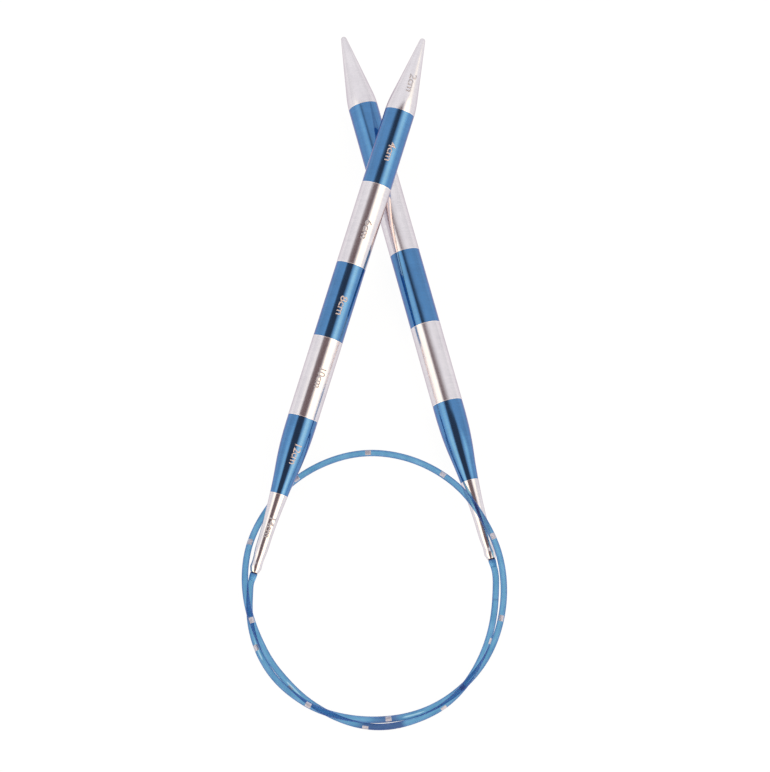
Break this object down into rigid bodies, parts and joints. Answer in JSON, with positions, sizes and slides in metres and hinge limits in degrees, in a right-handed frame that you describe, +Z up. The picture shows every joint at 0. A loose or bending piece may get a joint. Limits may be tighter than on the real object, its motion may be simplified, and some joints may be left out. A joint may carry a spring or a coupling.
{
  "type": "circular knitting needle",
  "caption": "Circular knitting needle: two banded hollow aluminium tips with swivel joints on one thin blue cable, coiled once and a half, tips crossed.",
  "frame": {"origin": "centre of the two needles' box on the surface that the object lies on, cable left out", "axes": "+Z up from that surface, +Y from the cable loop towards the needles' points, +X to the right"},
  "size_m": [0.0639, 0.1761, 0.0168],
  "materials": {
    "anodised_shank": "polished, anodised in silver and blue bands",
    "bush": "turned",
    "pin": "turned",
    "cable_plastic": "translucent, smooth"
  },
  "bodies": {
    "cable": {"cable": "cable_plastic"},
    "front_joint": {"front_cable_collar": "cable_plastic", "front_swivel_pin": "pin"},
    "front_needle": {"front_needle_shank": "anodised_shank", "front_swivel_bush": "bush"},
    "back_joint": {"back_cable_collar": "cable_plastic", "back_swivel_pin": "pin"},
    "back_needle": {"back_needle_shank": "anodised_shank", "back_swivel_bush": "bush"}
  },
  "joints": [
    {"name": "front_needle_swing", "type": "hinge", "parent": "cable", "child": "front_joint", "pos_m": [-0.02925, -0.07024, 0.00235], "axis": [-0.1607, -0.0406, 0.9862], "range_deg": [-30, 0], "stiffness_Nm_per_rad": 0.004},
    {"name": "front_needle_spin", "type": "hinge", "parent": "front_joint", "child": "front_needle", "pos_m": [-0.02925, -0.07024, 0.00235], "axis": [0.2943, 0.9517, 0.0872], "continuous": true},
    {"name": "back_needle_swing", "type": "hinge", "parent": "cable", "child": "back_joint", "pos_m": [0.02934, -0.0672, 0.00407], "axis": [0, 0, 1], "range_deg": [-25, 0], "stiffness_Nm_per_rad": 0.004},
    {"name": "back_needle_spin", "type": "hinge", "parent": "back_joint", "child": "back_needle", "pos_m": [0.02934, -0.0672, 0.00407], "axis": [-0.2602, 0.9656, -0.0026], "continuous": true}
  ]
}
